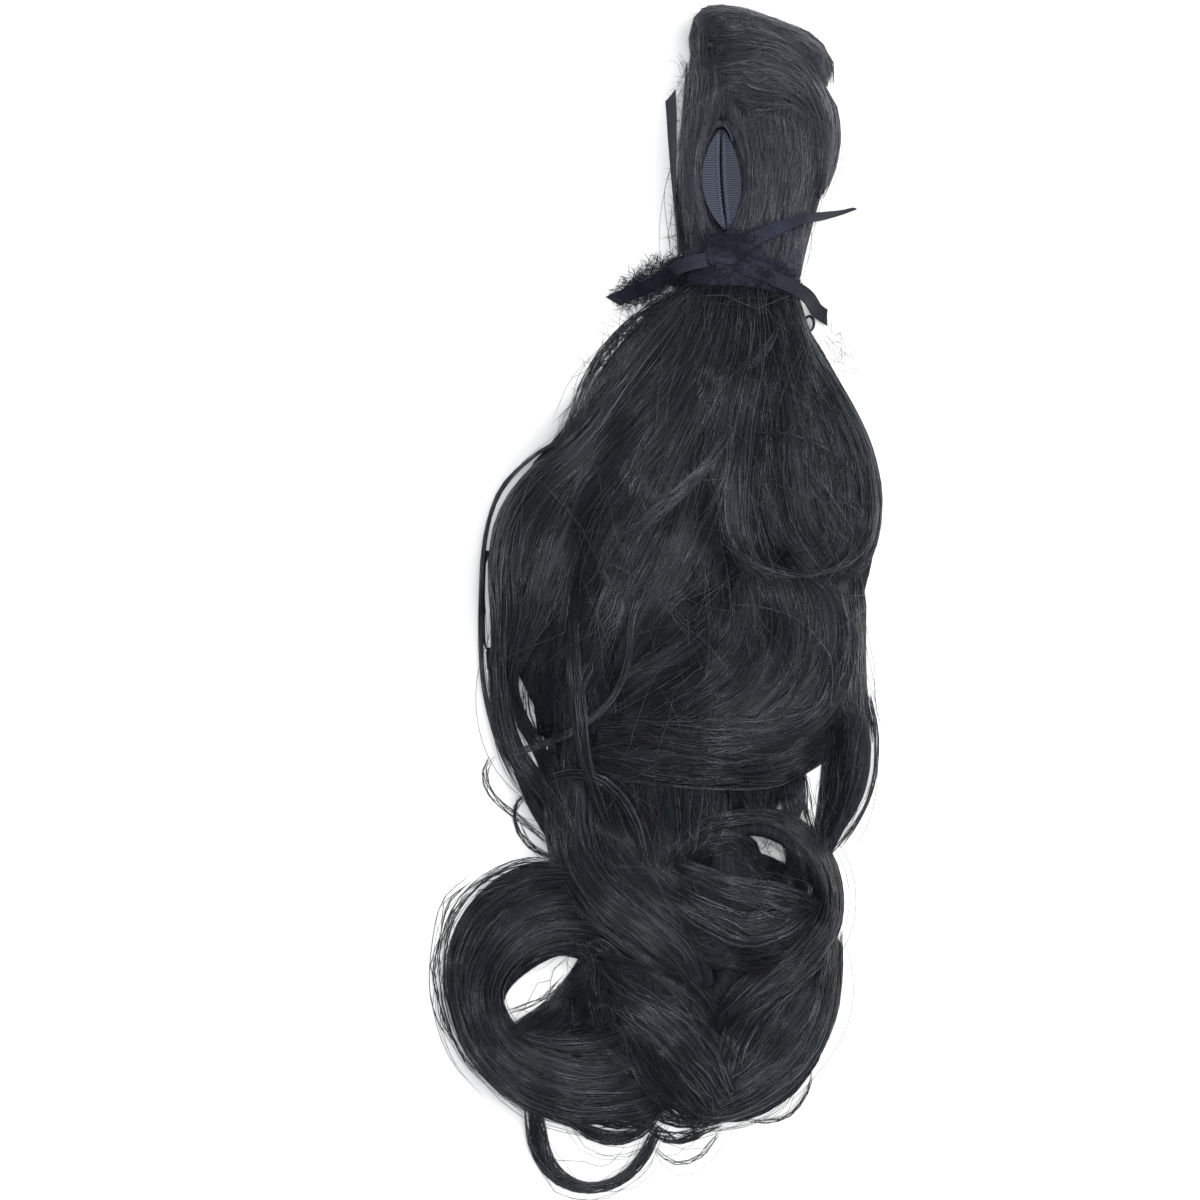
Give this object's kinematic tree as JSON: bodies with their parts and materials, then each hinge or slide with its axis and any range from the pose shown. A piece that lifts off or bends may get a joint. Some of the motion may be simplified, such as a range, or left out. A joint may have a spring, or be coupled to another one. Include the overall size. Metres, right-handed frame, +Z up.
{
  "type": "ponytail hairpiece",
  "caption": "Wavy ponytail hairpiece: a hair covered pocket with a slit goes over a bun, a satin ribbon ties its neck, and the hair ends in ring curls.",
  "frame": {"origin": "middle of the footprint, on the table the hairpiece lies on", "axes": "+Y from the curl tips to the crown, +Z up from the table, out of the slit of the pocket"},
  "size_m": [0.2, 0.5482, 0.0518],
  "materials": {
    "hair": "black wavy synthetic hair with a soft sheen along the strands",
    "woven_tape": "slate blue woven tape with fine cross ribs and a paler zigzag stitch",
    "satin_ribbon": "narrow blue black satin ribbon"
  },
  "bodies": {
    "root": {"pocket_shell": "hair", "slit_tape_left": "woven_tape", "slit_tape_right": "woven_tape", "crown_roll": "hair", "wrap_lock": "hair", "tie_ribbon": "satin_ribbon", "tie_knot": "satin_ribbon", "ribbon_upper_left": "satin_ribbon", "ribbon_lower_left": "satin_ribbon", "ribbon_lower_right": "satin_ribbon", "ribbon_upper_right": "satin_ribbon", "ribbon_loop": "satin_ribbon", "hair_fall": "hair", "cross_wave": "hair", "left_stream": "hair", "right_stream": "hair", "right_curl": "hair", "lower_fall": "hair", "tip_lock": "hair", "left_curl": "hair", "curl_heart": "hair", "lower_right_curl": "hair", "tip_loop_wide": "hair", "tip_loop_small": "hair", "tip_loop_right": "hair"}
  },
  "joints": []
}
